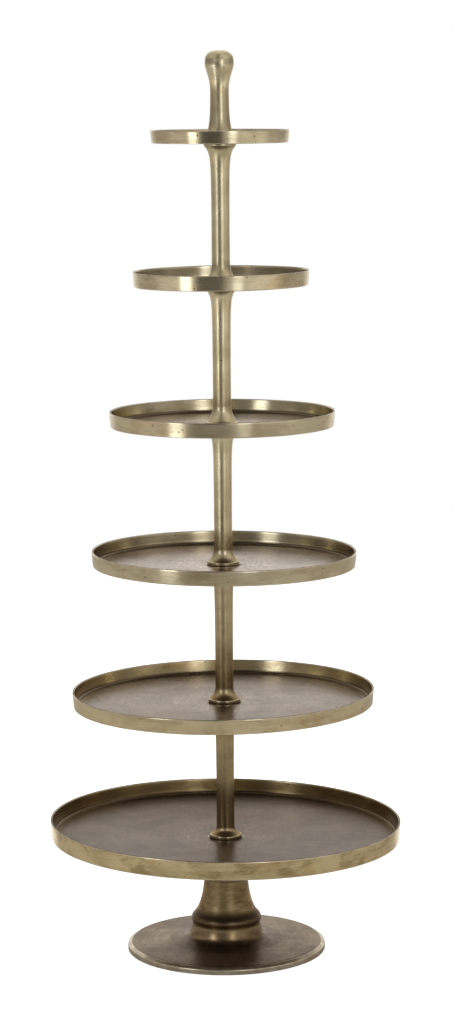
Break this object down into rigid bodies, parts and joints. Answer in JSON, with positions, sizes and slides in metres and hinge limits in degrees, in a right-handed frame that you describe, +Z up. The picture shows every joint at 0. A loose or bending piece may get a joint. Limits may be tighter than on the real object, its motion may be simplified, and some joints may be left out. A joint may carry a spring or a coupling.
{
  "type": "etagere",
  "caption": "Tall floor stand of shallow round trays, largest at the bottom, clamped between screwed turned poles on a bell foot, with a knobbed handle on top.",
  "frame": {"origin": "on the floor, under the middle of the foot", "axes": "+Z up along the column, -Y towards the camera of the picture, +X to its right"},
  "size_m": [0.605, 0.605, 1.5412],
  "materials": {
    "tray_bronze": "brushed aged bronze, darker patina on the floors",
    "pole_bronze": "polished aged bronze",
    "foot_bronze": "dark bronze patina, satin",
    "stud_steel": "zinc plated thread",
    "fibre": "pressed fibre, matt",
    "felt": "pressed felt"
  },
  "bodies": {
    "stand": {"base_foot": "foot_bronze", "foot_pad_1": "felt", "foot_pad_2": "felt", "foot_pad_3": "felt", "foot_pad_4": "felt", "foot_pad_5": "felt", "foot_pad_6": "felt", "tray_1": "tray_bronze"},
    "ring_1": {"washer_1": "fibre"},
    "section_1": {"pole_1": "pole_bronze", "stud_1": "stud_steel", "tray_2": "tray_bronze"},
    "ring_2": {"washer_2": "fibre"},
    "section_2": {"pole_2": "pole_bronze", "stud_2": "stud_steel", "tray_3": "tray_bronze"},
    "ring_3": {"washer_3": "fibre"},
    "section_3": {"pole_3": "pole_bronze", "stud_3": "stud_steel", "tray_4": "tray_bronze"},
    "ring_4": {"washer_4": "fibre"},
    "section_4": {"pole_4": "pole_bronze", "stud_4": "stud_steel", "tray_5": "tray_bronze"},
    "ring_5": {"washer_5": "fibre"},
    "section_5": {"pole_5": "pole_bronze", "stud_5": "stud_steel", "tray_6": "tray_bronze"},
    "ring_6": {"washer_6": "fibre"},
    "grip": {"handle": "pole_bronze", "stud_6": "stud_steel"}
  },
  "joints": [
    {"name": "rise_1", "type": "slide", "parent": "stand", "child": "ring_1", "axis": [0, 0, 1], "range_m": [0, 0.018]},
    {"name": "unscrew_1", "type": "hinge", "parent": "ring_1", "child": "section_1", "pos_m": [0, 0, 0.1974], "axis": [0, 0, 1], "range_deg": [0, 4320]},
    {"name": "rise_2", "type": "slide", "parent": "section_1", "child": "ring_2", "axis": [0, 0, 1], "range_m": [0, 0.018]},
    {"name": "unscrew_2", "type": "hinge", "parent": "ring_2", "child": "section_2", "pos_m": [0, 0, 0.4362], "axis": [0, 0, 1], "range_deg": [0, 4320]},
    {"name": "rise_3", "type": "slide", "parent": "section_2", "child": "ring_3", "axis": [0, 0, 1], "range_m": [0, 0.018]},
    {"name": "unscrew_3", "type": "hinge", "parent": "ring_3", "child": "section_3", "pos_m": [0, 0, 0.675], "axis": [0, 0, 1], "range_deg": [0, 4320]},
    {"name": "rise_4", "type": "slide", "parent": "section_3", "child": "ring_4", "axis": [0, 0, 1], "range_m": [0, 0.018]},
    {"name": "unscrew_4", "type": "hinge", "parent": "ring_4", "child": "section_4", "pos_m": [0, 0, 0.9138], "axis": [0, 0, 1], "range_deg": [0, 4320]},
    {"name": "rise_5", "type": "slide", "parent": "section_4", "child": "ring_5", "axis": [0, 0, 1], "range_m": [0, 0.018]},
    {"name": "unscrew_5", "type": "hinge", "parent": "ring_5", "child": "section_5", "pos_m": [0, 0, 1.1526], "axis": [0, 0, 1], "range_deg": [0, 4320]},
    {"name": "rise_6", "type": "slide", "parent": "section_5", "child": "ring_6", "axis": [0, 0, 1], "range_m": [0, 0.018]},
    {"name": "unscrew_6", "type": "hinge", "parent": "ring_6", "child": "grip", "pos_m": [0, 0, 1.3914], "axis": [0, 0, 1], "range_deg": [0, 4320]}
  ],
  "couplings": [
    {"joint": "rise_1", "follows": "unscrew_1", "m_per_rad": 0.00023873},
    {"joint": "rise_2", "follows": "unscrew_2", "m_per_rad": 0.00023873},
    {"joint": "rise_3", "follows": "unscrew_3", "m_per_rad": 0.00023873},
    {"joint": "rise_4", "follows": "unscrew_4", "m_per_rad": 0.00023873},
    {"joint": "rise_5", "follows": "unscrew_5", "m_per_rad": 0.00023873},
    {"joint": "rise_6", "follows": "unscrew_6", "m_per_rad": 0.00023873}
  ]
}
